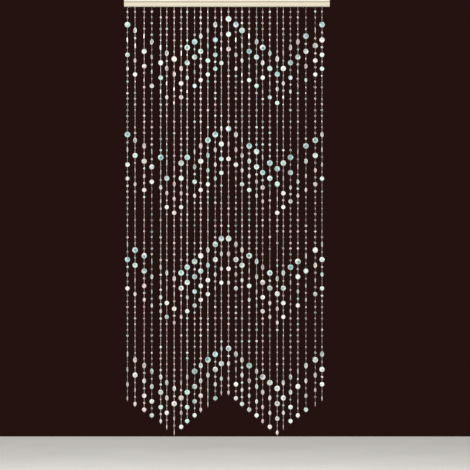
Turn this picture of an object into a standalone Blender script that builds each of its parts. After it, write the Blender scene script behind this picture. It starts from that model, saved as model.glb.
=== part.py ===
"""String door curtain: a slim moulded rail with strands of flat plastic discs hanging from it.

Units are metres and +Z is up. The front faces -Y, and the origin is the middle of the rail's back face.
Every strand is threaded in the same order: single rows of small discs, then a band of four large discs.
A strand starts its first band a few small discs later than its neighbour, so the bands and the hem zigzag.
The solids hold the rail, the strips that the strands are fused to, the threads and the large discs.
"""

import math
import random

import bmesh
import bpy
from mathutils import Vector

MM = 0.001
QUARTER = math.pi / 2

# Rail: a moulded batten. Heights along its front are measured down from its top edge.
RAIL_LENGTH = 945 * MM
RAIL_DEPTH = 22 * MM
RAIL_HEIGHT = 30 * MM
BEAD_HEIGHT = 4.5 * MM
COVE_HEIGHT = 9 * MM
COVE_DEPTH = 1.4 * MM
TOP_ROUND = 3 * MM
LOWER_ROUND = 4 * MM
ARC_STEPS = 6

# Slot under the rail, and the strips that fill it, each with seven strands.
THREAD_Y = -14 * MM
SLOT_WIDTH = 8 * MM
SLOT_DEPTH = 9 * MM
CLEARANCE = 0.3 * MM
STRIP_RECESS = 0.5 * MM
STRIP_INSET = 3 * MM
STRANDS_PER_STRIP = 7

# Strand spacing in mm from left to right: the place in the row, a run of gaps, and how often it comes.
FIRST_STRAND = 15 * MM
STRAND_GAPS = (
    ("left end", (35, 42, 35, 41), 1),
    ("first run", (28, 34, 32, 28, 34), 1),
    ("middle", (28, 33, 34), 5),
    ("right end", (37, 43, 31), 1),
)

# The order along a strand, measured down from the rail's top edge.
FIRST_LARGE = 87.4 * MM
SMALL_PITCH = 26.3 * MM
BAND_PERIOD = 505.2 * MM
BANDS = 4
ZIGZAG_HALF = 14
LARGE_DISCS = (
    # place below the band's first disc, diameter
    (0 * MM, 26 * MM),
    (70 * MM, 24 * MM),
    (138.5 * MM, 21 * MM),
    (202.5 * MM, 20 * MM),
)

# Thread and disc sections.
ROOT_HALF = 1.1 * MM
THREAD_REACH = 1.2 * MM
DISC_REACH_THROUGH = 1.5 * MM
STRAIGHT_SIDE = 0.4

# Which way the discs of each band face, top disc first, one row a strand from left to right.
# F faces the room, O is turned to an oval, and S shows its edge.
FACING = (
    # band 1, band 2, band 3, band 4
    ("FSFO", "FSFF", "SFOF", "SSOS"),
    ("OSOF", "OFSO", "FFSO", "OFSO"),
    ("SFFS", "OFOF", "FFFO", "OOFF"),
    ("OSSF", "SFFS", "SOSO", "OOFF"),
    ("SFFS", "FSOS", "SSOO", "OFFO"),
    ("OOSO", "SFOF", "OSFF", "OOFS"),
    ("FOSS", "SOOF", "OSFO", "OFSS"),
    ("SOFF", "FFOF", "FFSO", "SFOF"),
    ("FFOS", "FSSS", "FFOF", "SFFF"),
    ("FFSF", "SOFO", "FFFF", "FFFF"),
    ("OFOF", "OFSF", "FFFF", "OOFO"),
    ("SSFF", "FOOF", "OOFF", "FOSS"),
    ("OFFF", "FOOO", "FFOS", "FFOF"),
    ("SSSF", "SFFF", "FOOF", "SFOS"),
    ("FFFS", "FSFS", "FOFO", "FOSO"),
    ("FSOO", "OOFS", "OFOF", "OSFF"),
    ("FSOS", "SOOF", "OFOS", "OOOF"),
    ("SFSF", "FOOF", "FSFO", "FOOF"),
    ("OFSF", "FFOO", "OOSS", "OOOF"),
    ("FOFS", "SFFO", "OFFF", "FOOO"),
    ("OFSF", "FFSS", "FFOO", "FOOF"),
    ("OFOF", "FFSF", "OFOO", "FFFO"),
    ("SFOS", "FSFF", "OFFF", "OFOS"),
    ("OFFO", "FFOF", "FSSS", "OOFF"),
    ("OFSS", "SSOO", "FFOF", "SFSF"),
    ("FFOO", "FOSO", "SFSS", "OOOF"),
    ("SFFF", "FFOF", "FOSF", "FOOS"),
    ("FFFF", "OSSF", "SFOF", "OFFS"),
)
TURN_DEGREES = {
    # least and greatest turn away from facing the room
    "F": (2, 22),
    "O": (48, 62),
    "S": (74, 86),
}
TURN_SEED = 11

RAIL_IVORY = (0.80, 0.73, 0.58)
DISC_PEARL = (0.74, 0.86, 0.83)


def clear_scene():
    """Removes what the file opened with."""
    for obj in list(bpy.data.objects):
        bpy.data.objects.remove(obj)


def plastic(name, colour, roughness):
    """A plain plastic with the part's colour."""
    material = bpy.data.materials.new(name)
    material.use_nodes = True
    shader = material.node_tree.nodes["Principled BSDF"]
    shader.inputs["Base Color"].default_value = (*colour, 1)
    shader.inputs["Roughness"].default_value = roughness
    shader.inputs["Metallic"].default_value = 0
    material.diffuse_color = (*colour, 1)
    return material


def new_piece(name, bm, material):
    """Turns the modelled mesh into a named object with its material."""
    bmesh.ops.recalc_face_normals(bm, faces=bm.faces)
    mesh = bpy.data.meshes.new(name)
    bm.to_mesh(mesh)
    bm.free()
    mesh.materials.append(material)
    piece = bpy.data.objects.new(name, mesh)
    bpy.context.scene.collection.objects.link(piece)
    return piece


def height(drop):
    """The z of a point that lies `drop` below the rail's top edge."""
    return RAIL_HEIGHT / 2 - drop


def arc(centre, radius, start, end):
    """Points of an arc in the (y, z) plane, with its angles in degrees from +Y towards +Z."""
    points = []
    for step in range(ARC_STEPS + 1):
        angle = math.radians(start + (end - start) * step / ARC_STEPS)
        points.append((centre[0] + radius * math.cos(angle), centre[1] + radius * math.sin(angle)))
    return points


def cove(front):
    """The shallow hollow between the bead and the face, from its top edge down, as a half sine."""
    points = []
    for step in range(ARC_STEPS + 1):
        share = step / ARC_STEPS
        y = front + COVE_DEPTH * math.sin(math.pi * share)
        points.append((y, height(BEAD_HEIGHT + COVE_HEIGHT * share)))
    return points


def rail_outline():
    """The rail's section in (y, z): back, top, bead, cove, face, and the slot for the strips."""
    front = -RAIL_DEPTH
    top = height(0)
    bottom = height(RAIL_HEIGHT)
    slot_front = THREAD_Y - SLOT_WIDTH / 2
    slot_back = THREAD_Y + SLOT_WIDTH / 2
    slot_top = bottom + SLOT_DEPTH
    outline = [(0, bottom), (0, top)]
    outline += arc((front + TOP_ROUND, top - TOP_ROUND), TOP_ROUND, 90, 180)
    outline += cove(front)
    outline += arc((front + LOWER_ROUND, bottom + LOWER_ROUND), LOWER_ROUND, 180, 270)[:-1]
    outline += [(slot_front, bottom), (slot_front, slot_top), (slot_back, slot_top), (slot_back, bottom)]
    return outline


def make_rail(material):
    """The rail is its section drawn out along X."""
    bm = bmesh.new()
    section = [bm.verts.new((-RAIL_LENGTH / 2, y, z)) for y, z in rail_outline()]
    end = bm.faces.new(section)
    drawn = bmesh.ops.extrude_face_region(bm, geom=[end])
    moved = [item for item in drawn["geom"] if isinstance(item, bmesh.types.BMVert)]
    bmesh.ops.translate(bm, verts=moved, vec=(RAIL_LENGTH, 0, 0))
    return new_piece("rail", bm, material)


def strand_places():
    """The x of every strand, from left to right."""
    x = -RAIL_LENGTH / 2 + FIRST_STRAND
    places = [x]
    for _, gaps, repeats in STRAND_GAPS:
        for gap in gaps * repeats:
            x += gap * MM
            places.append(x)
    return places


def zigzag_step(number):
    """How many small discs later strand `number`, counted from 1, starts than a peak of the zigzag."""
    from_side = min(number, 2 * ZIGZAG_HALF + 1 - number)
    return min(from_side, ZIGZAG_HALF - from_side)


def large_discs(number, turns):
    """(drop, radius, turn) of each large disc of a strand, from the top down."""
    start = FIRST_LARGE + SMALL_PITCH * zigzag_step(number)
    discs = []
    for band in range(BANDS):
        for (below, diameter), facing in zip(LARGE_DISCS, FACING[number - 1][band]):
            least, greatest = TURN_DEGREES[facing]
            turn = math.radians(turns.uniform(least, greatest)) * turns.choice((-1, 1))
            discs.append((start + band * BAND_PERIOD + below, diameter / 2, turn))
    return discs


def ring(x, drop, turn, quarter, across, through):
    """A strand's four corners at one height, clockwise from above.

    Two lie `across` from the thread, along the disc, and two lie `through` from it, out of its faces.
    """
    corners = []
    for corner in range(4):
        side = quarter - corner
        reach = through if side % 2 else across
        angle = turn + side * QUARTER
        offset = Vector((math.cos(angle), math.sin(angle), 0)) * reach
        corners.append(Vector((x, THREAD_Y, height(drop))) + offset)
    return corners


def strand_rings(x, discs, first_angle):
    """Every ring of a strand: each disc is a neck, two full widths and a neck."""
    rings = []
    angle = first_angle
    for drop, radius, turn in discs:
        quarter = round((angle - turn) / QUARTER)
        angle = turn + quarter * QUARTER
        widest = radius * STRAIGHT_SIDE
        rings.append(ring(x, drop - radius, turn, quarter, THREAD_REACH, THREAD_REACH))
        rings.append(ring(x, drop - widest, turn, quarter, radius, DISC_REACH_THROUGH))
        rings.append(ring(x, drop + widest, turn, quarter, radius, DISC_REACH_THROUGH))
        rings.append(ring(x, drop + radius, turn, quarter, THREAD_REACH, THREAD_REACH))
    return rings


def draw_out(bm, tip, corners):
    """Extrudes the strand's end face to its next ring."""
    tip = bmesh.ops.extrude_discrete_faces(bm, faces=[tip])["faces"][0]
    for vert, corner in zip(tip.verts, corners):
        vert.co = corner
    return tip


def strip_bar(bm, low_x, high_x, places):
    """The bar that fills the slot, cut so that each strand has a small square of its own underneath."""
    low = Vector((low_x, THREAD_Y - SLOT_WIDTH / 2 + CLEARANCE, height(RAIL_HEIGHT) + STRIP_RECESS))
    high_z = height(RAIL_HEIGHT) + SLOT_DEPTH - CLEARANCE
    high = Vector((high_x, THREAD_Y + SLOT_WIDTH / 2 - CLEARANCE, high_z))
    bmesh.ops.create_cube(bm, size=1)
    bmesh.ops.scale(bm, verts=bm.verts, vec=high - low)
    bmesh.ops.translate(bm, verts=bm.verts, vec=(high + low) / 2)
    cuts = [((0, THREAD_Y + side * ROOT_HALF, 0), (0, 1, 0)) for side in (-1, 1)]
    cuts += [((x + side * ROOT_HALF, 0, 0), (1, 0, 0)) for x in places for side in (-1, 1)]
    for point, normal in cuts:
        everything = bm.verts[:] + bm.edges[:] + bm.faces[:]
        bmesh.ops.bisect_plane(bm, geom=everything, plane_co=point, plane_no=normal)


def root_face(bm, x):
    """The small square under the strip at a strand's place."""
    below = [face for face in bm.faces if face.normal.z < -0.9]
    return min(below, key=lambda face: (face.calc_center_median().xy - Vector((x, THREAD_Y))).length)


def make_strip(name, low_x, high_x, places, strands, material):
    """One backing strip with the strands that are fused to it."""
    bm = bmesh.new()
    strip_bar(bm, low_x, high_x, places)
    bm.normal_update()
    roots = [root_face(bm, x) for x in places]
    for x, discs, root in zip(places, strands, roots):
        corner = root.verts[0].co
        first_angle = math.atan2(corner.y - THREAD_Y, corner.x - x)
        tip = root
        for corners in strand_rings(x, discs, first_angle):
            tip = draw_out(bm, tip, corners)
    return new_piece(name, bm, material)


def strip_limits(places):
    """The two ends of every strip: midway between strands, and just inside the rail's ends."""
    half = RAIL_LENGTH / 2 - STRIP_INSET
    joints = []
    for last in range(STRANDS_PER_STRIP, len(places), STRANDS_PER_STRIP):
        joints.append((places[last - 1] + places[last]) / 2)
    lows = [-half] + [joint + CLEARANCE / 2 for joint in joints]
    highs = [joint - CLEARANCE / 2 for joint in joints] + [half]
    return list(zip(lows, highs))


def make_strips(material):
    """All the strips, with seven strands each."""
    places = strand_places()
    turns = random.Random(TURN_SEED)
    strands = [large_discs(number, turns) for number in range(1, len(places) + 1)]
    for index, (low_x, high_x) in enumerate(strip_limits(places)):
        own = slice(index * STRANDS_PER_STRIP, (index + 1) * STRANDS_PER_STRIP)
        make_strip(f"strand_strip_{index + 1}", low_x, high_x, places[own], strands[own], material)


clear_scene()
make_rail(plastic("ivory moulded plastic", RAIL_IVORY, 0.45))
make_strips(plastic("pearl disc plastic", DISC_PEARL, 0.2))
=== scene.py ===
# %% [markdown]
# # A string door curtain
#
# The real object is a slim moulded rail with 28 threads hanging from it. Each thread carries flat plastic
# discs: rows of small ones, and four bands of large ones that step up and down into zigzags. The packed
# solids hold the rail, the strips that the threads are fused to, and every large disc in place. This script
# dresses them: it reads the places of the discs back from the solids and strings finer discs there.

# %% Load the solids
import collections
import math

import bmesh
import bpy
import numpy as np
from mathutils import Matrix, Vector


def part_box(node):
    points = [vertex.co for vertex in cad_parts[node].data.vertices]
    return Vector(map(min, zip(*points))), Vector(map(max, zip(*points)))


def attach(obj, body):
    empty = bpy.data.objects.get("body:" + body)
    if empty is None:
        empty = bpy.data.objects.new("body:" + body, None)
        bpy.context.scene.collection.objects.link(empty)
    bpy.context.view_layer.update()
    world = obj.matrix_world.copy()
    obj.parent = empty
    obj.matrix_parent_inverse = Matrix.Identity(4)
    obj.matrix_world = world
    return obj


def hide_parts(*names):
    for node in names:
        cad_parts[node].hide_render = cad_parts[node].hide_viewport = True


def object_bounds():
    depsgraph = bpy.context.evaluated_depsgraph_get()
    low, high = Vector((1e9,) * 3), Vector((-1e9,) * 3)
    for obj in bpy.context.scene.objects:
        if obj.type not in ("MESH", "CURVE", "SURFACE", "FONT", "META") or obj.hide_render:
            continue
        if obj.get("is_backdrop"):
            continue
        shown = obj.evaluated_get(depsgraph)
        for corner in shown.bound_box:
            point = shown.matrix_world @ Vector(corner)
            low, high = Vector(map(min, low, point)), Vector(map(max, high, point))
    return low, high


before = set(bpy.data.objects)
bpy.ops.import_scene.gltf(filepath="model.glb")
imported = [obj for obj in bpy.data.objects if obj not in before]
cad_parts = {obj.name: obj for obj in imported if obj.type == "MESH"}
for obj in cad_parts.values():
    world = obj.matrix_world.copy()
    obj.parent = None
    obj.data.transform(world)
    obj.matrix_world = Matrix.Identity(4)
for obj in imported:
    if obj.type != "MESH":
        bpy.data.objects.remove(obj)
cad_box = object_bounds()
MM = 0.001
BODY = "root"
RAIL = "rail"
STRIPS = sorted(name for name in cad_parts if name.startswith("strand_strip"))
print("solids:", RAIL, *STRIPS)

# %% [markdown]
# ## Rings in the solids
#
# The places of the discs could be listed here a second time, but then two files would have to agree. The
# solids already know them. A strip and its strands are one mesh, and a strand is a stack of rings with four
# corners each. So the corners are sorted by height and cut apart wherever the height jumps: each group is
# one level.

# %% Sort a solid's corners into levels
LEVEL_GAP = 0.5 * MM
UNDERSIDE = 1


def corners_of(node):
    """The corners of a CAD node as an array of x, y and z."""
    return np.array([vert.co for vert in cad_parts[node].data.vertices])


def levels(corners):
    """The corners in groups of one height each, from the top down."""
    ordered = corners[np.argsort(-corners[:, 2])]
    breaks = np.flatnonzero(-np.diff(ordered[:, 2]) > LEVEL_GAP) + 1
    return np.split(ordered, breaks)


print(STRIPS[0], "has", len(levels(corners_of(STRIPS[0]))), "levels")

# %% [markdown]
# ## Where the strands start
#
# The second level of a strip is its underside. There each strand has a root with a square section, and the
# middle between the root's two edges is the strand's x. The middle of the underside gives the y of all the
# threads.

# %% Find the strands under each strip
ROOT_REACH = 2 * MM
NEIGHBOUR_CLEAR = 14 * MM

Strand = collections.namedtuple("Strand", "strip x top corners")


def strands_of(strip):
    """The strands of a strip from left to right, each with its corners, and the y of their threads."""
    corners = corners_of(strip)
    underside = levels(corners)[UNDERSIDE]
    thread_y = (underside[:, 1].min() + underside[:, 1].max()) / 2
    inner = underside[np.abs(underside[:, 1] - thread_y) < ROOT_REACH]
    root_edges = np.unique(np.round(inner[:, 0], 5)).reshape(-1, 2)
    top = underside[0, 2]
    hanging = corners[corners[:, 2] < top - LEVEL_GAP]
    found = []
    for x in root_edges.mean(axis=1):
        found.append(Strand(strip, x, top, hanging[np.abs(hanging[:, 0] - x) < NEIGHBOUR_CLEAR]))
    return found, thread_y


strands = []
for strip in STRIPS:
    found, THREAD_Y = strands_of(strip)
    strands += found
print(len(strands), "strands hang at y =", round(THREAD_Y / MM, 2), "mm")

# %% [markdown]
# ## Where the large discs hang
#
# Down a strand, a ring that reaches far from the thread belongs to a disc. Its reach is the disc's radius
# and its direction is the way the disc is turned. A disc has two such rings, one above and one below its
# middle.

# %% Read the large discs
WIDE_REACH = 3 * MM

Disc = collections.namedtuple("Disc", "strand z radius turn")


def read_discs(number):
    """The large discs of a strand, from the top down."""
    strand = strands[number]
    wide = []
    for level in levels(strand.corners):
        offsets = level[:, :2] - (strand.x, THREAD_Y)
        reach = np.hypot(offsets[:, 0], offsets[:, 1])
        far = reach.argmax()
        if reach[far] > WIDE_REACH:
            wide.append((level[0, 2], reach[far], math.atan2(offsets[far, 1], offsets[far, 0])))
    discs = []
    for (upper, radius, angle), (lower, _, _) in zip(wide[0::2], wide[1::2]):
        turn = (angle + math.pi / 2) % math.pi - math.pi / 2
        discs.append(Disc(number, (upper + lower) / 2, radius, turn))
    return discs


discs_of_strand = [read_discs(number) for number in range(len(strands))]
large_discs = [disc for discs in discs_of_strand for disc in discs]
radii = sorted({round(disc.radius / MM, 1) for disc in large_discs})
print(len(large_discs), "large discs with radii of", radii, "mm")

# %% [markdown]
# ## The small discs between them
#
# The small discs follow a rule, so they are worked out from the large ones: one in the middle of each gap
# inside a band, ten between two bands, and a run up towards the rail before the first band. They are fixed
# on by hand, so none is exactly in its place. Each turns freely, but the thread's own twist gives a strand
# a common lean.

# %% Place the small discs
SMALL_RADIUS = 5.5 * MM
SMALL_PITCH = 26.3 * MM
SMALL_TO_LARGE = 33.4 * MM
SMALLS_BETWEEN_BANDS = 10
DISCS_IN_BAND = 4
FIRST_SMALL_DROP = 54 * MM
PLACED_WITHIN = 0.8 * MM
TURN_SPREAD = math.radians(38)
RAIL_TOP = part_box(RAIL)[1].z


def small_heights(discs):
    """The z of every small disc of a strand."""
    heights = []
    highest = RAIL_TOP - FIRST_SMALL_DROP + SMALL_PITCH / 2
    z = discs[0].z + SMALL_TO_LARGE
    while z < highest:
        heights.append(z)
        z += SMALL_PITCH
    for index in range(1, len(discs)):
        middle = (discs[index - 1].z + discs[index].z) / 2
        count = 1 if index % DISCS_IN_BAND else SMALLS_BETWEEN_BANDS
        heights += [middle + (place - (count - 1) / 2) * SMALL_PITCH for place in range(count)]
    return heights


small_discs = []
chance = np.random.default_rng(23)
for number, discs in enumerate(discs_of_strand):
    lean = chance.uniform(-math.pi / 2, math.pi / 2)
    for z in small_heights(discs):
        z += chance.uniform(-PLACED_WITHIN, PLACED_WITHIN)
        small_discs.append(Disc(number, z, SMALL_RADIUS, lean + chance.normal(0, TURN_SPREAD)))
print(len(small_discs), "small discs")

# %% [markdown]
# ## Colours
#
# Colours are written as sRGB hex values, as an artist picks them. One function turns them to the linear
# values that Blender works in.


# %% Hex to linear
def linear(colour):
    """An sRGB hex colour, such as "#e3f6ea", as linear red, green, blue and alpha."""
    values = [int(colour[place : place + 2], 16) / 255 for place in (1, 3, 5)]
    return [v / 12.92 if v <= 0.04045 else ((v + 0.055) / 1.055) ** 2.4 for v in values] + [1.0]


print("pearl white is", [round(value, 3) for value in linear("#f4f7ef")])

# %% [markdown]
# ## Nodes
#
# Materials and Geometry Nodes are both trees of nodes, so one small function adds a node with its settings
# and its links to either. A colour mix node has sockets of the same name for each type of value, so those
# for colours are picked by number. Every material starts the same way, and that is the second function.

# %% Add a node and start a material
MIX_A, MIX_B, MIX_COLOUR = 6, 7, 2


def add(tree, kind, inputs=None, **settings):
    """Adds a node. inputs maps a socket's name or number to a value, or to the output that feeds it."""
    made = tree.nodes.new(kind)
    for name, value in settings.items():
        setattr(made, name, value)
    for socket, value in (inputs or {}).items():
        if isinstance(value, bpy.types.NodeSocket):
            tree.links.new(value, made.inputs[socket])
        else:
            made.inputs[socket].default_value = value
    return made


def new_material(name):
    """A material with its node tree, its Principled shader and its place on the object in metres."""
    material = bpy.data.materials.new(name)
    material.use_nodes = True
    tree = material.node_tree
    return material, tree, tree.nodes["Principled BSDF"], add(tree, "ShaderNodeTexCoord").outputs["Object"]


print("nodes and colours are ready")

# %% [markdown]
# ## Pearl-coated polystyrene: the coat's tones
#
# The discs are injection-moulded clear polystyrene with a vacuum coating that shimmers white, with a breath
# of rose, cream, mint or aqua. No two batches are alike, so each disc has a tone of its own, and the tone
# drifts from one side of a disc to the other. Where the melt flowed down from the nib it left faint upright
# streaks. Real streaks are finer than the render shows, so they are drawn a little coarser.

# %% The pearl's tone
PEARL_TONES = (
    (0.00, "#e4c7c1"),
    (0.25, "#f9ece3"),
    (0.50, "#f5f8f0"),
    (0.75, "#cfefdf"),
    (1.00, "#b5dfda"),
)
NOISE_LOW, NOISE_HIGH = 0.3, 0.7  # most of a noise texture's values lie between these
DRIFT_MM = 9
DRIFT_SWING = 0.2
STREAK_MM = 1.4
STREAK_STRETCH = 0.22
STREAK_SWING = 0.09


def pearl_tone(tree, marks, place):
    """The colour of the coat, from the disc's own tone, the drift across it and the streaks."""
    drift = add(tree, "ShaderNodeTexNoise", {"Vector": place, "Scale": 1 / (DRIFT_MM * MM), "Detail": 1.0})
    swing = {0: drift.outputs["Fac"], 1: NOISE_LOW, 2: NOISE_HIGH, 3: -DRIFT_SWING, 4: DRIFT_SWING}
    swing = add(tree, "ShaderNodeMapRange", swing).outputs[0]
    upright = {"Vector": place, "Scale": (1.0, 1.0, STREAK_STRETCH)}
    upright = add(tree, "ShaderNodeMapping", upright).outputs[0]
    streaks = {"Vector": upright, "Scale": 1 / (STREAK_MM * MM), "Detail": 2.0, "Distortion": 0.8}
    streaks = add(tree, "ShaderNodeTexNoise", streaks).outputs["Fac"]
    flow = {0: streaks, 1: NOISE_LOW, 2: NOISE_HIGH, 3: -STREAK_SWING, 4: STREAK_SWING}
    flow = add(tree, "ShaderNodeMapRange", flow).outputs[0]
    tone = add(tree, "ShaderNodeMath", {0: marks["shade"], 1: swing}, operation="ADD").outputs[0]
    tone = add(tree, "ShaderNodeMath", {0: tone, 1: flow}, operation="ADD").outputs[0]
    ramp = add(tree, "ShaderNodeValToRGB", {"Fac": tone})
    for position, _ in PEARL_TONES[1:-1]:
        ramp.color_ramp.elements.new(position)
    for stop, (position, colour) in zip(ramp.color_ramp.elements, PEARL_TONES):
        stop.position = position
        stop.color = linear(colour)
    return ramp.outputs["Color"], streaks


print(len(PEARL_TONES), "tones from rose to aqua")

# %% [markdown]
# ## Pearl-coated polystyrene: thin coats, eyes and rims
#
# A thin coat lets the dark through and looks greyer, so each disc's tone is multiplied by a lightness of
# its own. On the two larger sizes the thin, dished middle shows as a teal eye in a white ring, greener on
# some and bluer on others. An eye slips a little off the middle, most often upwards, and a disc's tone is
# lighter on the side across from its eye, so most discs are lighter towards the bottom. Along the very edge
# and on the nibs, discs that swing against each other have lost their coat in patches, and bare polystyrene
# shows.

# %% The eye, the thin coat and the worn rim
THICKEST = 1.05
LIGHTER_ACROSS_FROM_EYE = 1.5
STREAK_DULL, STREAK_BRIGHT = 0.94, 1.03
EYE_GREEN = "#12917c"
EYE_BLUE = "#20789c"
EYE_HUE_MM = 40
EYE_GREEN_TO, EYE_BLUE_FROM = 0.4, 0.6
EYE_RADIUS = 0.4  # this and the next three are shares of the disc's radius
EYE_FADED = 0.56
WORN_FROM = 0.93
WORN_OUT = 1.0
BARE_PLASTIC = "#a9aca4"
WEAR_MM = 3
WEAR_STARTS, WEAR_WHOLE = 0.45, 0.6


def thin_coat(tree, colour, marks, streaks, thinnest):
    """Darkens the coat to the disc's own thickness, less along the streaks and across from the eye."""
    # A disc's tone is lighter on the side across from its eye, so most discs are lighter towards the bottom.
    aside = {0: marks["on_disc"], 1: marks["slip"]}
    aside = add(tree, "ShaderNodeVectorMath", aside, operation="DOT_PRODUCT").outputs["Value"]
    coat = {0: aside, 1: -LIGHTER_ACROSS_FROM_EYE, 2: marks["coat"]}
    coat = add(tree, "ShaderNodeMath", coat, operation="MULTIPLY_ADD").outputs[0]
    light = add(tree, "ShaderNodeMapRange", {0: coat, 3: thinnest, 4: THICKEST}).outputs[0]
    grain = {0: streaks, 1: NOISE_LOW, 2: NOISE_HIGH, 3: STREAK_DULL, 4: STREAK_BRIGHT}
    grain = add(tree, "ShaderNodeMapRange", grain).outputs[0]
    light = add(tree, "ShaderNodeMath", {0: light, 1: grain}, operation="MULTIPLY").outputs[0]
    grey = add(tree, "ShaderNodeCombineXYZ", {0: light, 1: light, 2: light}).outputs[0]
    both = {0: 1.0, MIX_A: colour, MIX_B: grey}
    return add(tree, "ShaderNodeMix", both, data_type="RGBA", blend_type="MULTIPLY").outputs[MIX_COLOUR]


def eye(tree, colour, marks, place):
    """Lays the eye over the coat, with a soft edge. Returns the colour and the eye's share of it."""
    hue = add(tree, "ShaderNodeTexNoise", {"Vector": place, "Scale": 1 / (EYE_HUE_MM * MM)}).outputs["Fac"]
    hue = add(tree, "ShaderNodeMapRange", {0: hue, 1: EYE_GREEN_TO, 2: EYE_BLUE_FROM}).outputs[0]
    teal = {0: hue, MIX_A: linear(EYE_GREEN), MIX_B: linear(EYE_BLUE)}
    teal = add(tree, "ShaderNodeMix", teal, data_type="RGBA").outputs[MIX_COLOUR]
    off_eye = {0: marks["on_disc"], 1: marks["slip"]}
    off_eye = add(tree, "ShaderNodeVectorMath", off_eye, operation="DISTANCE").outputs["Value"]
    inside = {0: off_eye, 1: EYE_RADIUS, 2: EYE_FADED, 3: 1.0, 4: 0.0}
    inside = add(tree, "ShaderNodeMapRange", inside).outputs[0]
    share = add(tree, "ShaderNodeMath", {0: inside, 1: marks["eye"]}, operation="MULTIPLY").outputs[0]
    laid = {0: share, MIX_A: colour, MIX_B: teal}
    return add(tree, "ShaderNodeMix", laid, data_type="RGBA").outputs[MIX_COLOUR], share


def worn_rim(tree, colour, marks, place):
    """Wears the coat off the edge in patches."""
    out = add(tree, "ShaderNodeVectorMath", {0: marks["on_disc"]}, operation="LENGTH").outputs["Value"]
    edge = add(tree, "ShaderNodeMapRange", {0: out, 1: WORN_FROM, 2: WORN_OUT}).outputs[0]
    patches = {"Vector": place, "Scale": 1 / (WEAR_MM * MM), "Detail": 2.0}
    patches = add(tree, "ShaderNodeTexNoise", patches).outputs["Fac"]
    patches = add(tree, "ShaderNodeMapRange", {0: patches, 1: WEAR_STARTS, 2: WEAR_WHOLE}).outputs[0]
    share = add(tree, "ShaderNodeMath", {0: edge, 1: patches}, operation="MULTIPLY").outputs[0]
    worn = {0: share, MIX_A: colour, MIX_B: linear(BARE_PLASTIC)}
    return add(tree, "ShaderNodeMix", worn, data_type="RGBA").outputs[MIX_COLOUR]


print("eyes run from", EYE_GREEN, "to", EYE_BLUE)

# %% [markdown]
# ## Pearl-coated polystyrene: the gloss
#
# Polystyrene has an IOR of 1.59 and comes glossy from a polished mould. The coat is a clear film a few
# hundred nanometres thick, whose interference gives the shimmer: thin film settings do that. Thick plastic
# sinks a little as it cools, so the face is never a perfect mirror. A faint, wide bump bends its
# reflections.

# %% Pearl materials for the large and the small discs
STYRENE_IOR = 1.59
COATED_ROUGHNESS, EYE_ROUGHNESS = 0.22, 0.45
COAT_ROUGHNESS = 0.05
FILM_NM = 350
FILM_IOR = 1.7
SINK_MM = 6
SINK_DEPTH_MM = 0.12
LARGE_THINNEST, SMALL_THINNEST = 0.57, 0.14
DISC_NUMBERS = ("shade", "coat", "eye")
DISC_VECTORS = ("on_disc", "slip")


def pearl(name, thinnest):
    """The discs' material. It reads each disc's shade, coat, eye and slip, and on_disc, a point's place on
    its disc. thinnest is how light a disc is where its coat is thinnest."""
    material, tree, shader, place = new_material(name)
    marks = {}
    for labels, output in ((DISC_NUMBERS, "Fac"), (DISC_VECTORS, "Vector")):
        for label in labels:
            marks[label] = add(tree, "ShaderNodeAttribute", attribute_name=label).outputs[output]
    colour, streaks = pearl_tone(tree, marks, place)
    colour = thin_coat(tree, colour, marks, streaks, thinnest)
    colour, bare = eye(tree, colour, marks, place)
    tree.links.new(worn_rim(tree, colour, marks, place), shader.inputs["Base Color"])
    coated = add(tree, "ShaderNodeMapRange", {0: bare, 3: 1.0, 4: 0.0}).outputs[0]
    tree.links.new(coated, shader.inputs["Coat Weight"])
    matt = add(tree, "ShaderNodeMapRange", {0: bare, 3: COATED_ROUGHNESS, 4: EYE_ROUGHNESS}).outputs[0]
    tree.links.new(matt, shader.inputs["Roughness"])
    sinks = {"Vector": place, "Scale": 1 / (SINK_MM * MM), "Detail": 0.0}
    sinks = add(tree, "ShaderNodeTexNoise", sinks).outputs["Fac"]
    sinks = {"Strength": 1.0, "Distance": SINK_DEPTH_MM * MM, "Height": sinks}
    sinks = add(tree, "ShaderNodeBump", sinks).outputs["Normal"]
    tree.links.new(sinks, shader.inputs["Normal"])
    tree.links.new(sinks, shader.inputs["Coat Normal"])
    shader.inputs["IOR"].default_value = STYRENE_IOR
    shader.inputs["Coat Roughness"].default_value = COAT_ROUGHNESS
    shader.inputs["Thin Film Thickness"].default_value = FILM_NM
    shader.inputs["Thin Film IOR"].default_value = FILM_IOR
    return material


LARGE_PEARL = pearl("pearl-coated polystyrene, large discs", LARGE_THINNEST)
SMALL_PEARL = pearl("pearl-coated polystyrene, small discs", SMALL_THINNEST)
print("made", LARGE_PEARL.name, "and", SMALL_PEARL.name)

# %% [markdown]
# ## Nylon thread
#
# The thread is nylon monofilament. It is drawn, so it is smooth and even, half clear, and shows as a thin
# pale line. The reels differ: one is paler than another, or a little rosier or greener. Slight stretch
# marks along a thread are finer than a render shows, so they are drawn coarser than they are.

# %% Nylon material for the threads
NYLON_ROSY = "#ecd3cb"
NYLON_GREENISH = "#dde4d8"
NYLON_DARK = "#6c635d"
NYLON_IOR = 1.53
NYLON_ROUGHNESS = 0.35
NYLON_CLEARNESS = 0.2
STRETCH_MM = 6
STRETCH_SWING = 0.2
NYLON, tree, shader, place = new_material("drawn nylon monofilament")
reel = add(tree, "ShaderNodeAttribute", attribute_name="reel").outputs["Fac"]
stretch = add(tree, "ShaderNodeTexNoise", {"Vector": place, "Scale": 1 / (STRETCH_MM * MM), "Detail": 2.0})
stretch = {0: stretch.outputs["Fac"], 3: -STRETCH_SWING, 4: STRETCH_SWING}
stretch = add(tree, "ShaderNodeMapRange", stretch).outputs[0]
pale = add(tree, "ShaderNodeMath", {0: reel, 1: stretch}, operation="ADD", use_clamp=True).outputs[0]
tone = add(tree, "ShaderNodeAttribute", attribute_name="tone").outputs["Fac"]
clean = {0: tone, MIX_A: linear(NYLON_ROSY), MIX_B: linear(NYLON_GREENISH)}
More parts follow.
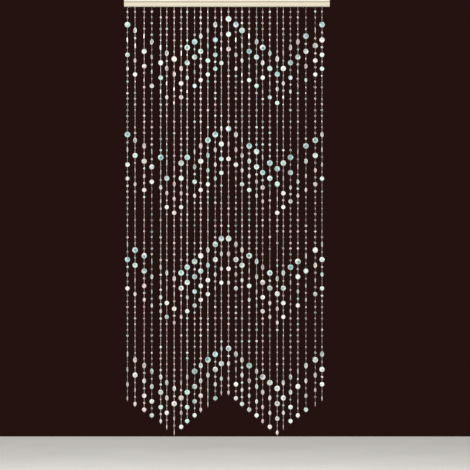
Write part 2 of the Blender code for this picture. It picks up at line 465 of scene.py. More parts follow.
clean = add(tree, "ShaderNodeMix", clean, data_type="RGBA").outputs[MIX_COLOUR]
tint = {0: pale, MIX_A: linear(NYLON_DARK), MIX_B: clean}
tint = add(tree, "ShaderNodeMix", tint, data_type="RGBA").outputs[MIX_COLOUR]
tree.links.new(tint, shader.inputs["Base Color"])
shader.inputs["Roughness"].default_value = NYLON_ROUGHNESS
shader.inputs["IOR"].default_value = NYLON_IOR
shader.inputs["Transmission Weight"].default_value = NYLON_CLEARNESS
print("made", NYLON.name)

# %% [markdown]
# ## Ivory moulding
#
# The rail is an extruded PVC moulding in ivory. Extrusion leaves faint lines along its length, and the
# plastic has yellowed a little unevenly. The bead is painted palest, a painted highlight where the top light
# falls. Below it a film of dust dulls the rest, and painted shade lies deepest low down in the hollow band.
# The ends were sawn, so they are paler too.

# %% PVC material for the rail and the strips
IVORY_PALE = "#ece5d2"
IVORY_YELLOWED = "#e3d9bf"
IVORY_HIGHLIGHT = "#edeede"
IVORY_SAWN = "#ece6d6"
DUST_AND_SHADE = "#9a8e73"
PVC_IOR = 1.53
PVC_ROUGHNESS = 0.34
YELLOWING_MM = 130
HIGHLIGHT_SHARE = 0.8
HIGHLIGHT_UNDER = 0.15  # the painted highlight fades out where the dust and painted shade reach this
DRAW_LINE_MM = 0.9
DRAW_LINE_DEPTH_MM = 0.1
DRAW_LINE_STRENGTH = 0.12
DRAWN_OUT = 0.01  # a draw line is a hundred times longer than wide
IVORY, tree, shader, place = new_material("extruded ivory PVC")
cloud = add(tree, "ShaderNodeTexNoise", {"Vector": place, "Scale": 1 / (YELLOWING_MM * MM), "Detail": 3.0})
tint = {0: cloud.outputs["Fac"], MIX_A: linear(IVORY_PALE), MIX_B: linear(IVORY_YELLOWED)}
tint = add(tree, "ShaderNodeMix", tint, data_type="RGBA").outputs[MIX_COLOUR]
# The dust-and-shade mark darkens the ivory below the bead: a film of dust, and painted shade in the hollow
# band.
dust = add(tree, "ShaderNodeAttribute", attribute_name="dust").outputs["Fac"]
# Where that mark is near nil, on the bead, the ivory is lightened: a painted highlight.
bead_highlight = {0: dust, 1: 0.0, 2: HIGHLIGHT_UNDER, 3: HIGHLIGHT_SHARE, 4: 0.0}
bead_highlight = add(tree, "ShaderNodeMapRange", bead_highlight).outputs[0]
sawn = add(tree, "ShaderNodeAttribute", attribute_name="sawn").outputs["Fac"]
for share, colour in ((bead_highlight, IVORY_HIGHLIGHT), (dust, DUST_AND_SHADE), (sawn, IVORY_SAWN)):
    tint = {0: share, MIX_A: tint, MIX_B: linear(colour)}
    tint = add(tree, "ShaderNodeMix", tint, data_type="RGBA").outputs[MIX_COLOUR]
tree.links.new(tint, shader.inputs["Base Color"])
stretched = add(tree, "ShaderNodeMapping", {"Vector": place, "Scale": (DRAWN_OUT, 1.0, 1.0)}).outputs[0]
lines = {"Vector": stretched, "Scale": 1 / (DRAW_LINE_MM * MM)}
lines = add(tree, "ShaderNodeTexNoise", lines).outputs["Fac"]
lines = {"Strength": DRAW_LINE_STRENGTH, "Distance": DRAW_LINE_DEPTH_MM * MM, "Height": lines}
lines = add(tree, "ShaderNodeBump", lines).outputs["Normal"]
tree.links.new(lines, shader.inputs["Normal"])
shader.inputs["Roughness"].default_value = PVC_ROUGHNESS
shader.inputs["IOR"].default_value = PVC_IOR
print("made", IVORY.name)

# %% [markdown]
# ## Geometry Nodes: small steps
#
# The discs repeat 1750 times, so they are made once, in a tree of nodes, and strung on points. The tree
# needs sums, products and vectors, and one step of its own: raise a face and scale it. One or two such
# steps turn a flat circle into half a disc.


# %% A new tree and its small steps
def new_tree(name, inputs):
    """An empty Geometry Nodes tree with named inputs. Returns it with its input and output nodes."""
    tree = bpy.data.node_groups.new(name, "GeometryNodeTree")
    tree.interface.new_socket("Geometry", in_out="INPUT", socket_type="NodeSocketGeometry")
    for label, kind in inputs:
        tree.interface.new_socket(label, in_out="INPUT", socket_type=kind)
    tree.interface.new_socket("Geometry", in_out="OUTPUT", socket_type="NodeSocketGeometry")
    return tree, add(tree, "NodeGroupInput").outputs, add(tree, "NodeGroupOutput")


def sum_of(tree, operation, a, b):
    """The result of one sum with two numbers or outputs."""
    return add(tree, "ShaderNodeMath", {0: a, 1: b}, operation=operation).outputs[0]


def upwards(tree, value):
    """A vector along Z."""
    return add(tree, "ShaderNodeCombineXYZ", {2: value}).outputs[0]


def step(tree, mesh, top, rise, scale):
    """Raises the top face by rise and scales it: one step of the disc's section."""
    raised = {"Mesh": mesh, "Offset": upwards(tree, rise), "Individual": False}
    if top is not None:
        raised["Selection"] = top
    raised = add(tree, "GeometryNodeExtrudeMesh", raised)
    shaped = {"Geometry": raised.outputs["Mesh"], "Selection": raised.outputs["Top"], "Scale": scale}
    return add(tree, "GeometryNodeScaleElements", shaped).outputs[0], raised.outputs["Top"]


print("steps are ready")

# %% [markdown]
# ## Two kinds of half disc
#
# A large disc has a thick rounded rim and a thin flat eye, so its half takes two steps: out to the crest of
# the rim, then in and down to the eye. A small disc is a plain lentil: one step, and its middle point is
# pushed up a little. It starts from a circle filled with a fan of triangles, because a fan has a middle
# point.

# %% Half a disc of radius 1
MIDDLE_REACH = 0.01  # only the middle point is nearer to the middle than this


def circle(tree, given, fill):
    """A flat filled circle of radius 1."""
    return add(tree, "GeometryNodeMeshCircle", {"Vertices": given["Segments"]}, fill_type=fill).outputs[0]


def dished_half(tree, given):
    """Half a disc with a rim and an eye."""
    half_rim = sum_of(tree, "MULTIPLY", given["Rim Thickness"], 0.5)
    half, top = step(tree, circle(tree, given, "NGON"), None, half_rim, given["Rim Radius"])
    drop = sum_of(tree, "SUBTRACT", sum_of(tree, "MULTIPLY", given["Middle Thickness"], 0.5), half_rim)
    inwards = sum_of(tree, "DIVIDE", given["Eye Radius"], given["Rim Radius"])
    return step(tree, half, top, drop, inwards)[0]


def domed_half(tree, given):
    """Half a disc whose middle rises to a low dome."""
    half_rim = sum_of(tree, "MULTIPLY", given["Rim Thickness"], 0.5)
    half, _ = step(tree, circle(tree, given, "TRIANGLE_FAN"), None, half_rim, given["Rim Radius"])
    place = add(tree, "GeometryNodeInputPosition").outputs[0]
    flat = add(tree, "ShaderNodeVectorMath", {0: place, 1: (1, 1, 0)}, operation="MULTIPLY").outputs[0]
    from_middle = add(tree, "ShaderNodeVectorMath", {0: flat}, operation="LENGTH").outputs["Value"]
    rise = sum_of(tree, "SUBTRACT", sum_of(tree, "MULTIPLY", given["Middle Thickness"], 0.5), half_rim)
    middle = sum_of(tree, "LESS_THAN", from_middle, MIDDLE_REACH)
    raised = {"Geometry": half, "Selection": middle, "Offset": upwards(tree, rise)}
    return add(tree, "GeometryNodeSetPosition", raised).outputs[0]


print("two kinds of half disc")

# %% [markdown]
# ## The whole disc
#
# The half is mirrored, the two are joined and their doubles merged. A nib goes on at the top and the
# bottom, where the thread enters: discs of this kind are moulded round the thread, and the mould leaves a
# small boss there. It grows out of the crest of the rim, where the disc is thickest, so no ledge shows at
# its foot. Every point also keeps its place on the disc as "on_disc", in shares of the radius, which the
# pearl material reads.

# %% Mirror, merge and add the nibs
NIB_SIDES = 6
NIB_END = 1.08
NIB_TIP = 0.8
MERGE_WITHIN = 0.001


def nib(tree, given, turn):
    """The small boss where the thread enters the rim. It narrows away from the disc."""
    sizes = {"Vertices": NIB_SIDES, "Radius Bottom": given["Nib Radius"]}
    sizes["Radius Top"] = sum_of(tree, "MULTIPLY", given["Nib Radius"], NIB_TIP)
    sizes["Depth"] = sum_of(tree, "SUBTRACT", NIB_END, given["Rim Radius"])
    cone = add(tree, "GeometryNodeMeshCone", sizes).outputs["Mesh"]
    raised = {"Geometry": cone, "Translation": upwards(tree, given["Rim Radius"])}
    raised = add(tree, "GeometryNodeTransform", raised).outputs[0]
    return add(tree, "GeometryNodeTransform", {"Geometry": raised, "Rotation": (turn, 0, 0)}).outputs[0]


def whole_disc(tree, given):
    """A disc of radius 1 that stands upright, with its faces along Y and its nibs along Z."""
    kinds = {"Switch": given["Dished"], "False": domed_half(tree, given), "True": dished_half(tree, given)}
    half = add(tree, "GeometryNodeSwitch", kinds, input_type="GEOMETRY").outputs[0]
    other = add(tree, "GeometryNodeTransform", {"Geometry": half, "Scale": (1, 1, -1)}).outputs[0]
    both = add(tree, "GeometryNodeJoinGeometry", {"Geometry": half})
    tree.links.new(add(tree, "GeometryNodeFlipFaces", {"Mesh": other}).outputs[0], both.inputs[0])
    merged = {"Geometry": both.outputs[0], "Distance": MERGE_WITHIN}
    merged = add(tree, "GeometryNodeMergeByDistance", merged).outputs[0]
    parts = add(tree, "GeometryNodeJoinGeometry", {"Geometry": merged})
    for turn in (math.pi / 2, -math.pi / 2):
        tree.links.new(nib(tree, given, turn), parts.inputs[0])
    place = add(tree, "GeometryNodeInputPosition").outputs[0]
    marked = {"Geometry": parts.outputs[0], "Name": "on_disc", "Value": place}
    marked = add(tree, "GeometryNodeStoreNamedAttribute", marked, data_type="FLOAT_VECTOR").outputs[0]
    upright = {"Geometry": marked, "Rotation": (math.pi / 2, 0, 0)}
    return add(tree, "GeometryNodeTransform", upright).outputs[0]


print("a nib has", NIB_SIDES, "sides")

# %% [markdown]
# ## Stringing the discs
#
# The tree puts one disc on every point. A point's own attributes give its size and its turn, and a seeded
# random number gives it a little tilt, because a thread is not stiff. Instances don't travel with the
# model, so the tree ends by making them real and giving them their material.

# %% The tree that strings discs on points
DISC_INPUTS = (
    ("Segments", "NodeSocketInt"),
    ("Dished", "NodeSocketBool"),
    ("Rim Thickness", "NodeSocketFloat"),
    ("Rim Radius", "NodeSocketFloat"),
    ("Middle Thickness", "NodeSocketFloat"),
    ("Eye Radius", "NodeSocketFloat"),
    ("Nib Radius", "NodeSocketFloat"),
    ("Tilt", "NodeSocketFloat"),
    ("Seed", "NodeSocketInt"),
    ("Material", "NodeSocketMaterial"),
)


def own_value(tree, name):
    """A number that each point carries."""
    return add(tree, "GeometryNodeInputNamedAttribute", {"Name": name}, data_type="FLOAT").outputs[0]


def stringing_tree():
    """Puts a disc on every point."""
    tree, given, result = new_tree("strung discs", DISC_INPUTS)
    angles = {2: own_value(tree, "turn")}
    for axis in (0, 1):
        chance = {2: -1.0, 3: 1.0, "Seed": sum_of(tree, "ADD", given["Seed"], axis)}
        chance = add(tree, "FunctionNodeRandomValue", chance, data_type="FLOAT").outputs[1]
        angles[axis] = sum_of(tree, "MULTIPLY", chance, given["Tilt"])
    turned = add(tree, "ShaderNodeCombineXYZ", angles).outputs[0]
    strung = {"Points": given["Geometry"], "Instance": whole_disc(tree, given), "Rotation": turned}
    strung["Scale"] = own_value(tree, "size")
    strung = add(tree, "GeometryNodeInstanceOnPoints", strung).outputs[0]
    solid = add(tree, "GeometryNodeRealizeInstances", {"Geometry": strung}).outputs[0]
    coated = {"Geometry": solid, "Material": given["Material"]}
    tree.links.new(add(tree, "GeometryNodeSetMaterial", coated).outputs[0], result.inputs[0])
    return tree


STRINGING = stringing_tree()
print("tree", STRINGING.name, "has", len(STRINGING.nodes), "nodes")

# %% [markdown]
# ## From points to a finished piece
#
# A mesh of bare points carries the numbers, the tree runs on it as a modifier, and its result is kept as a
# plain mesh. A finished piece rides on the part's body and stands for the solid that it dresses, which is
# hidden. Each strip gets pieces of its own, so that no piece grows too large.


# %% Run a tree, keep its mesh and hand the piece over
def link_piece(name, mesh):
    """A new object that shows the mesh."""
    piece = bpy.data.objects.new(name, mesh)
    bpy.context.scene.collection.objects.link(piece)
    return piece


def point_mesh(name, points, edges, marks):
    """A mesh of bare points and edges, where marks holds lists with a number or a vector for each point."""
    mesh = bpy.data.meshes.new(name)
    mesh.from_pydata(points, edges, [])
    for label, values in marks.items():
        values = np.array(values, dtype=np.float32)
        kind, field = ("FLOAT", "value") if values.ndim == 1 else ("FLOAT_VECTOR", "vector")
        mesh.attributes.new(label, kind, "POINT").data.foreach_set(field, values.ravel())
    return mesh


def run_tree(name, mesh, tree, settings, spent):
    """Runs a tree on the mesh. Returns an object with the plain result and without the spent attributes."""
    piece = link_piece(name, mesh)
    modifier = piece.modifiers.new(tree.name, "NODES")
    modifier.node_group = tree
    for socket in tree.interface.items_tree:
        if socket.in_out == "INPUT" and socket.name in settings:
            modifier[socket.identifier] = settings[socket.name]
    evaluated = piece.evaluated_get(bpy.context.evaluated_depsgraph_get())
    made = bpy.data.meshes.new_from_object(evaluated)
    piece.modifiers.clear()
    piece.data = made
    for label in spent:
        made.attributes.remove(made.attributes[label])
    return piece


def hand_over(piece, solid):
    """Hangs the finished piece on the body and hides the solid that it dresses."""
    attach(piece, BODY)
    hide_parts(solid)
    triangles = sum(len(face.vertices) - 2 for face in piece.data.polygons)
    print(piece.name, "has", triangles, "triangles")


print("pieces will ride on", BODY)

# %% [markdown]
# ## Every disc's own look
#
# Each disc gets three numbers and a vector: shade is its tone between rose and aqua, coat is how thick its
# coat is, eye is how strong its teal eye is, and slip is how far that eye is off the middle. Strands are
# strung from batches, so neighbours on one thread are more alike than discs on different threads. Larger
# discs lean towards mint and have the stronger eyes. On the smaller sizes of the large discs a thin coat is
# rarer. A disc that hangs turned away from the front is painted rosier and with a weaker eye, a painted
# reflection of how its film looks from the front. It is also painted lighter: painted light in place of
# the front lamps' light that it misses.

# %% Draw the looks and string a set of discs
STRAND_SHADE = 0.12
STRAND_COAT = 0.18
TONED_SIZES = (10 * MM, 13 * MM)
SIZES = (SMALL_RADIUS, 10 * MM, 10.5 * MM, 12 * MM, 13 * MM)  # the next two are for these
THIN_COAT_RARITY = (1.0, 4.0, 4.0, 1.5, 1.0)
EYE_STRENGTHS = (0.0, 0.0, 0.1, 0.6, 0.95)
EYE_LEAST, EYE_MOST = 0.1, 1.1
TURNED_PAINTED_ROSE = 0.27
TURNED_PAINTED_LIGHT = 0.25
TURNED_PAINTED_EYE_FADE = 0.6
SLIP_UP = 0.14
SLIP_SPREAD = 0.16
FARTHEST_SLIP = 0.3
SEEDS_IN_TREE = 2  # the stringing tree draws a tilt about each of two axes
batch_lightness = np.random.default_rng(31).normal(0, 1, len(strands))
batch_tone = np.random.default_rng(37).normal(0, 1, len(strands))


def looks(discs, mean_shades, spread, chance):
    """The marks of each disc. Tones spread about mean_shades, which are for the two TONED_SIZES."""
    strand = [disc.strand for disc in discs]
    sizes = np.array([disc.radius for disc in discs])
    turn = np.array([disc.turn for disc in discs])
    turned = np.abs(np.sin(turn))
    shade = chance.normal(np.interp(sizes, TONED_SIZES, mean_shades), spread)
    # A disc turned away from the front is painted rosier: a painted reflection, the film's hue seen from the
    # front.
    shade = (shade + STRAND_SHADE * batch_tone[strand] - TURNED_PAINTED_ROSE * turned).clip(0, 1)
    coat = (chance.uniform(0, 1, len(discs)) + STRAND_COAT * batch_lightness[strand]).clip(0, 1)
    thinness = (1 - coat) ** np.interp(sizes, SIZES, THIN_COAT_RARITY)
    # A turned disc is painted lighter: painted light for the front lamps' light that it misses.
    coat = 1 - thinness * (1 - TURNED_PAINTED_LIGHT * turned)
    # A turned disc's eye is painted weaker: a painted reflection, as teal shows best face on.
    strength = chance.uniform(EYE_LEAST, EYE_MOST, len(discs)).clip(0, 1) * (1 - TURNED_PAINTED_EYE_FADE * turned)
    strength *= np.interp(sizes, SIZES, EYE_STRENGTHS)
    slip = chance.normal((0, SLIP_UP, 0), (SLIP_SPREAD, SLIP_SPREAD, 0), (len(discs), 3))
    slip *= np.minimum(1, FARTHEST_SLIP / np.linalg.norm(slip, axis=1))[:, None]
    return {"turn": turn, "size": sizes, "shade": shade, "coat": coat, "eye": strength, "slip": slip}


def string_discs(name, discs, mean_shades, spread, seed, settings):
    """One piece for each strip, with a disc at each place in the list."""
    marks = looks(discs, mean_shades, spread, np.random.default_rng(seed))
    for index, strip in enumerate(STRIPS):
        own = [place for place, disc in enumerate(discs) if strands[disc.strand].strip == strip]
        points = [(strands[discs[place].strand].x, THREAD_Y, discs[place].z) for place in own]
        label = f"{name}_{index + 1}"
        mesh = point_mesh(label, points, [], {key: values[own] for key, values in marks.items()})
        own_seed = seed + SEEDS_IN_TREE * index
        piece = run_tree(label, mesh, STRINGING, {"Seed": own_seed, **settings}, ("turn", "size"))
        piece.data.shade_smooth()
        hand_over(piece, strip)


print("discs will be strung on", len(STRIPS), "strips")

# %% [markdown]
# ## Large discs
#
# The largest discs are about 2.9 mm thick at the rim and 2 mm in the middle. All sizes in the tree are
# shares of the radius, so a smaller disc is thinner too, as it is from a set of moulds of one design.

# %% String the large discs
LARGE_LOOKS = {"mean_shades": (0.58, 0.70), "spread": 0.15, "seed": 5}
LARGE_DISC = {
    "Segments": 24,
    "Dished": True,
    "Rim Thickness": 0.22,
    "Rim Radius": 0.88,
    "Middle Thickness": 0.15,
    "Eye Radius": EYE_RADIUS,
    "Nib Radius": 0.105,
    "Tilt": math.radians(2),
    "Material": LARGE_PEARL,
}
string_discs("large_discs", large_discs, **LARGE_LOOKS, settings=LARGE_DISC)

# %% [markdown]
# ## Small discs
#
# The small discs are plain lentils of 11 mm. They are thicker for their size, because the thread is as
# thick as before, and they have fewer sides, because there are three times as many.

# %% String the small discs
SMALL_LOOKS = {"mean_shades": (0.27, 0.27), "spread": 0.38, "seed": 8}
SMALL_DISC = {
    "Segments": 16,
    "Dished": False,
    "Rim Thickness": 0.40,
    "Rim Radius": 0.80,
    "Middle Thickness": 0.46,
    "Nib Radius": 0.19,
    "Tilt": math.radians(3),
    "Material": SMALL_PEARL,
}
string_discs("small_discs", small_discs, **SMALL_LOOKS, settings=SMALL_DISC)

# %% [markdown]
# ## Threads: the tree
#
# A thread is a line that a small circle is swept along. The tree turns each line of a mesh into a curve and
# sweeps the circle as thick as each point says, so a knot is only a short line that swells.


# %% The tree that sweeps threads
THREAD_INPUTS = (("Sides", "NodeSocketInt"), ("Material", "NodeSocketMaterial"))


def sweeping_tree():
    """Sweeps a circle along every line."""
    tree, given, result = new_tree("swept threads", THREAD_INPUTS)
    line = add(tree, "GeometryNodeMeshToCurve", {"Mesh": given["Geometry"]}).outputs[0]
    round_section = {"Resolution": given["Sides"], "Radius": 1.0}
    round_section = add(tree, "GeometryNodeCurvePrimitiveCircle", round_section).outputs[0]
    swept = {"Curve": line, "Profile Curve": round_section, "Fill Caps": True}
    swept["Scale"] = own_value(tree, "thick")
    swept = add(tree, "GeometryNodeCurveToMesh", swept).outputs[0]
    solid = add(tree, "GeometryNodeRealizeInstances", {"Geometry": swept}).outputs[0]
    drawn = {"Geometry": solid, "Material": given["Material"]}
    tree.links.new(add(tree, "GeometryNodeSetMaterial", drawn).outputs[0], result.inputs[0])
    return tree


SWEEPING = sweeping_tree()
print("tree", SWEEPING.name, "has", len(SWEEPING.nodes), "nodes")

# %% [markdown]
# ## Threads: from nib to nib
#
# Inside a disc the thread can't be seen, so only the lengths between the discs are made, from inside one
# nib to inside the next. The first starts inside the backing bar, and below the last disc the thread ends
# in a knot.

# %% Sweep the threads
THREAD_SIDES = 8
THREAD_RADIUS = 0.85 * MM
ROOT_DEPTH = 2 * MM
THREAD_STOP = 1.02  # where a thread enters a disc, inside the nib, as a share of the disc's radius
KNOT = ((0.0, 0.8), (0.9, 0.9), (1.4, 1.5), (2.3, 1.6), (3.0, 1.2), (3.4, 0.5))  # drop and radius, mm
KNOT_FOLD = math.radians(50)
REEL_SPREAD = 0.45


def thread_lengths(number):
    """The lengths of a strand's thread, each a list of heights and radii, and the knot as the last."""
    along_strand = [disc for disc in large_discs + small_discs if disc.strand == number]
    along_strand.sort(key=lambda disc: -disc.z)
    starts = [strands[number].top + ROOT_DEPTH]
    starts += [disc.z - disc.radius * THREAD_STOP for disc in along_strand]
    ends = [disc.z + disc.radius * THREAD_STOP for disc in along_strand]
    lengths = [[(start, THREAD_RADIUS), (end, THREAD_RADIUS)] for start, end in zip(starts, ends)]
    return lengths + [[(starts[-1] - below * MM, radius * MM) for below, radius in KNOT]]


for index, strip in enumerate(STRIPS):
    points, edges, thick, reel, tone = [], [], [], [], []
    for number in (number for number, strand in enumerate(strands) if strand.strip == strip):
        paleness = min(max(0.5 + REEL_SPREAD * batch_lightness[number], 0), 1)
        greenness = min(max(0.5 + REEL_SPREAD * batch_tone[number], 0), 1)
        for length in thread_lengths(number):
            edges += [(len(points) + place, len(points) + place + 1) for place in range(len(length) - 1)]
            points += [(strands[number].x, THREAD_Y, z) for z, _ in length]
            thick += [radius for _, radius in length]
            reel += [paleness] * len(length)
            tone += [greenness] * len(length)
    mesh = point_mesh(f"threads_{index + 1}", points, edges, {"thick": thick, "reel": reel, "tone": tone})
    threads = {"Sides": THREAD_SIDES, "Material": NYLON}
    threads = run_tree(f"threads_{index + 1}", mesh, SWEEPING, threads, ("thick",))
    threads.data.shade_smooth()
    threads.data.set_sharp_from_angle(angle=KNOT_FOLD)
    hand_over(threads, strip)

# %% [markdown]
# ## Backing bars
#
# The bars close the rail's slot from below and hold the threads. Each is a plain bar with eased edges.

# %% Make the backing bars
BAR_EASE = 0.5 * MM
EASE_STEPS = 2


def eased_block(name, low, high, ease, material):
    """A block between two corners with its edges eased."""
    bm = bmesh.new()
    bmesh.ops.create_cube(bm, size=1)
    bmesh.ops.scale(bm, verts=bm.verts, vec=high - low)
    bmesh.ops.translate(bm, verts=bm.verts, vec=(high + low) / 2)
    bmesh.ops.bevel(bm, geom=bm.edges[:], offset=ease, segments=EASE_STEPS, affect="EDGES")
    mesh = bpy.data.meshes.new(name)
    bm.to_mesh(mesh)
    bm.free()
    mesh.materials.append(material)
    return link_piece(name, mesh)


for index, strip in enumerate(STRIPS):
    bar_corners = np.concatenate(levels(corners_of(strip))[: UNDERSIDE + 1])
    low, high = Vector(bar_corners.min(axis=0)), Vector(bar_corners.max(axis=0))
    hand_over(eased_block(f"backing_bar_{index + 1}", low, high, BAR_EASE, IVORY), strip)

# %% [markdown]
# ## The rail's section
#
# The rail is one extruded moulding: a rounded bead along the top, a hollow band under it, a plain face, and
# the slot for the strips, whose front lip is rounded right up to the slot. It has the solid's section with
# finer curves.

# %% Draw the section
BEAD_HEIGHT = 4.5 * MM
BAND_HEIGHT = 9 * MM
BAND_DEPTH = 1.4 * MM
TOP_ROUND = 3 * MM
SLOT_WIDTH = 8 * MM
SLOT_DEPTH = 9 * MM
CURVE_STEPS = 14


def arc(centre, radius, start, end):
    """Points of an arc in the (y, z) plane, with its angles in degrees from +Y towards +Z."""
    y, z = centre
    angles = np.radians(np.linspace(start, end, CURVE_STEPS))
    return [(y + radius * math.cos(angle), z + radius * math.sin(angle)) for angle in angles]


def rail_section(low, high):
    """The moulding's section between the solid's corners, in (y, z)."""
    front, back, bottom, top = low.y, high.y, low.z, high.z
    band_top = top - BEAD_HEIGHT
    section = [(back, bottom), (back, top)]
    section += arc((front + TOP_ROUND, top - TOP_ROUND), TOP_ROUND, 90, 180)
    for share in np.linspace(0, 1, CURVE_STEPS):
        section.append((front + BAND_DEPTH * math.sin(math.pi * share), band_top - BAND_HEIGHT * share))
    slot_front, slot_back = THREAD_Y - SLOT_WIDTH / 2, THREAD_Y + SLOT_WIDTH / 2
    slot_top = bottom + SLOT_DEPTH
    lip = slot_front - front
    section += arc((slot_front, bottom + lip), lip, 180, 270)
    return section + [(slot_front, slot_top), (slot_back, slot_top), (slot_back, bottom)]


print("the section has", len(rail_section(*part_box(RAIL))), "corners")

# %% [markdown]
# ## The rail
#
# The section is drawn out along X, as the real one is pressed through a die, and both sawn ends are eased a
# little. Two marks for the material go on the corners of the faces: how much dust and painted shade lies
# there, and whether the face is a sawn end. Marks on face corners, and not on points, stop cleanly at the
# ends.

# %% Draw out the rail
END_EASE = 0.5 * MM
ENDWAYS = 0.5  # more than this of an end's normal lies along the rail
FLAT_BELOW = math.radians(20)
# The dust-and-shade mark is a film of dust below the bead, and painted shade deepest low in the hollow band.
FILM = 0.18
FILM_WHOLE_AT = 0.25  # the share of the hollow band's height where the film is whole
HOLLOW_SHADE = 0.9
HOLLOW_SHADE_LOW = 1.5  # above 1, most of the painted shade lies below the middle of the band


def dust_and_shade_at(corner, low, high):
    """Dust and painted shade at a corner: none on the bead, dust below, painted shade in the hollow band."""
    share = min(max((high.z - corner.z - BEAD_HEIGHT) / BAND_HEIGHT, 0), 1)
    in_front = corner.y < low.y + 2 * BAND_DEPTH
    hollow_shade = math.sin(math.pi * share**HOLLOW_SHADE_LOW) if in_front else 0
    return FILM * min(1, share / FILM_WHOLE_AT) + (HOLLOW_SHADE - FILM) * hollow_shade


def is_end(face):
    """Whether a face looks along the rail, as its sawn ends do."""
    return abs(face.normal.x) > ENDWAYS


def draw_rail(low, high):
    """Draws the section out along X and eases the edges of both ends."""
    bm = bmesh.new()
    end = bm.faces.new([bm.verts.new((low.x, y, z)) for y, z in rail_section(low, high)])
    drawn = bmesh.ops.extrude_face_region(bm, geom=[end])["geom"]
    moved = [item for item in drawn if isinstance(item, bmesh.types.BMVert)]
    bmesh.ops.translate(bm, verts=moved, vec=(high.x - low.x, 0, 0))
    bmesh.ops.recalc_face_normals(bm, faces=bm.faces)
    rims = [edge for face in bm.faces if is_end(face) for edge in face.edges]
    ease = {"offset": END_EASE, "segments": EASE_STEPS, "affect": "EDGES", "clamp_overlap": True}
    bmesh.ops.bevel(bm, geom=rims, **ease)
    mesh = bpy.data.meshes.new("rail_moulding")
    bm.to_mesh(mesh)
    bm.free()
    mesh.materials.append(IVORY)
    return mesh


def mark_rail(mesh, low, high):
    """Stores the dust-and-shade and sawn marks on the corners of the faces."""
    dust, sawn = [], []
    for face in mesh.polygons:
        corners = [mesh.vertices[vert].co for vert in face.vertices]
        dust += [0 if is_end(face) else dust_and_shade_at(corner, low, high) for corner in corners]
        sawn += [float(is_end(face))] * len(corners)
    for label, values in (("dust", dust), ("sawn", sawn)):
        mesh.attributes.new(label, "FLOAT", "CORNER").data.foreach_set("value", values)


rail_mesh = draw_rail(*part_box(RAIL))
mark_rail(rail_mesh, *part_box(RAIL))
rail_mesh.shade_smooth()
rail_mesh.set_sharp_from_angle(angle=FLAT_BELOW)
hand_over(link_piece("rail_moulding", rail_mesh), RAIL)

# %% [markdown]
# ## Floor
#
# A plain pale floor lies a hand's breadth below the hem. It ends not far behind the curtain, so that from
# the front the pale strands stand against the darker studio. Matt paint keeps it from glaring.

# %% Lay the floor
FLOOR_DROP = 77 * MM
FLOOR_LOW = Vector((-1.7, -1.5, -0.02))
FLOOR_HIGH = Vector((1.7, 0.73, 0.0))
FLOOR_EASE = 4 * MM
FLOOR_TINTS = ("#adaba8", "#b7b5b2")
FLOOR_ROUGHNESS = 0.95
CLOUD_MM = 330
FLOOR_PAINT, tree, shader, place = new_material("pale floor paint")
cloud = add(tree, "ShaderNodeTexNoise", {"Vector": place, "Scale": 1 / (CLOUD_MM * MM), "Detail": 4.0})
tint = {0: cloud.outputs["Fac"], MIX_A: linear(FLOOR_TINTS[0]), MIX_B: linear(FLOOR_TINTS[1])}
tint = add(tree, "ShaderNodeMix", tint, data_type="RGBA").outputs[MIX_COLOUR]
tree.links.new(tint, shader.inputs["Base Color"])
shader.inputs["Roughness"].default_value = FLOOR_ROUGHNESS
floor_z = Vector((0, 0, cad_box[0].z - FLOOR_DROP))
eased_block("floor", FLOOR_LOW + floor_z, FLOOR_HIGH + floor_z, FLOOR_EASE, FLOOR_PAINT)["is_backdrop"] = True
print("floor at z =", round(floor_z.z, 3))

# %% [markdown]
# ## Lights
#
# Glossy discs show what they reflect, so the lights are large soft panels. Two stand in front, the stronger
# one to the left, and one hangs above. A weaker one behind keeps the back view from going flat. The last
# looks straight down in front of the curtain, so that its light goes to the floor.

# %% Set the lights
CURTAIN_MIDDLE = (cad_box[0] + cad_box[1]) / 2


def soft_light(name, place, width, height, watts, target=CURTAIN_MIDDLE, spread=math.pi):
    """An area light that looks at its target."""
    light = bpy.data.lights.new(name, "AREA")
    light.shape = "RECTANGLE"
    light.size = width
    light.size_y = height
    light.energy = watts
    light.spread = spread
    lamp = bpy.data.objects.new(name, light)
    lamp.location = place
    lamp.rotation_euler = (target - Vector(place)).to_track_quat("-Z", "Y").to_euler()
    bpy.context.scene.collection.objects.link(lamp)


soft_light("key light", (-3.6, -3.9, 0.5), width=1.8, height=2.6, watts=94)
soft_light("fill light", (3.9, -3.3, -0.6), width=1.6, height=2.6, watts=75)
soft_light("top light", (0.3, -2.6, 2.6), width=2.4, height=1.2, watts=49)
soft_light("back light", (-0.6, 3.4, 0.6), width=2.4, height=2.0, watts=55)
downwards = {"target": Vector((0.0, -2.2, -2.0)), "spread": math.radians(110)}
soft_light("floor light", (0.0, -2.2, 0.1), width=3.4, height=0.8, watts=45, **downwards)
print(len(bpy.data.lights), "lights")

# %% [markdown]
# ## The studio around
#
# The strands are pale and thin, so they need a dark, even ground behind them to be seen at all. The world
# is therefore two things at once: rays from the camera see a plain dark brown, and all other rays find a
# soft white light from every side.

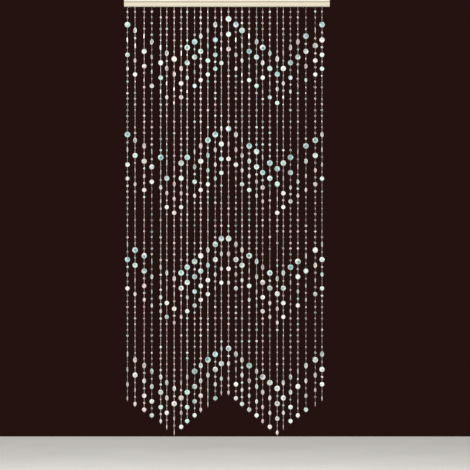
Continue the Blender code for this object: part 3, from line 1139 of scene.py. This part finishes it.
# %% Fill the world
STUDIO_BROWN = "#241311"
SOFT_WHITE = "#f6f4f0"
SOFT_STRENGTH = 0.58
world = bpy.data.worlds.new("studio")
bpy.context.scene.world = world
world.use_nodes = True
tree = world.node_tree
tree.nodes.clear()
seen = add(tree, "ShaderNodeBackground", {"Color": linear(STUDIO_BROWN), "Strength": 1.0})
soft = add(tree, "ShaderNodeBackground", {"Color": linear(SOFT_WHITE), "Strength": SOFT_STRENGTH})
path = add(tree, "ShaderNodeLightPath")
chosen = {0: path.outputs["Is Camera Ray"], 1: soft.outputs[0], 2: seen.outputs[0]}
chosen = add(tree, "ShaderNodeMixShader", chosen).outputs[0]
add(tree, "ShaderNodeOutputWorld", {"Surface": chosen})
print("world", world.name, "is lit")

# %% [markdown]
# ## Camera
#
# The photograph looks at the curtain square on from far away, so lines stay parallel. A long lens at ten
# metres does the same. At the curtain one pixel is 4.6 mm, the rail's top edge lies on the frame's upper
# edge, and the rail's middle a little left of the frame's.

# %% Set the camera
PIXEL_MM = 4.6
FRAME_PIXELS = 470
RAIL_MIDDLE_PIXEL = 226.9
CAMERA_DISTANCE = 10.0
SENSOR_MM = 36
FARTHEST_SEEN = 100
frame_width = PIXEL_MM * MM * FRAME_PIXELS
camera_data = bpy.data.cameras.new("camera")
camera_data.sensor_width = SENSOR_MM
camera_data.lens = camera_data.sensor_width * CAMERA_DISTANCE / frame_width
camera_data.clip_end = FARTHEST_SEEN
camera = bpy.data.objects.new("camera", camera_data)
aside = (FRAME_PIXELS / 2 - RAIL_MIDDLE_PIXEL) * PIXEL_MM * MM
camera.location = (aside, THREAD_Y - CAMERA_DISTANCE, RAIL_TOP - frame_width / 2)
camera.rotation_euler = (math.pi / 2, 0, 0)
bpy.context.scene.collection.objects.link(camera)
bpy.context.scene.camera = camera
bpy.context.scene.view_settings.view_transform = "Standard"
print("lens", round(camera_data.lens, 1), "mm, frame", round(frame_width, 3), "m wide")

# %% [markdown]
# ## Sizes
#
# The dressed curtain has to stay as large as its solids. The box of the solids and the box of the finished
# pieces are kept side by side, and how far their corners differ is printed.

# %% Print the sizes
sizes = {"cad": [list(corner) for corner in cad_box], "visual": [list(corner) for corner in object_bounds()]}
for corner, solid, piece in zip(("low", "high"), sizes["cad"], sizes["visual"]):
    print(corner, "corners differ by", [round((b - a) / MM, 1) for a, b in zip(solid, piece)], "mm")
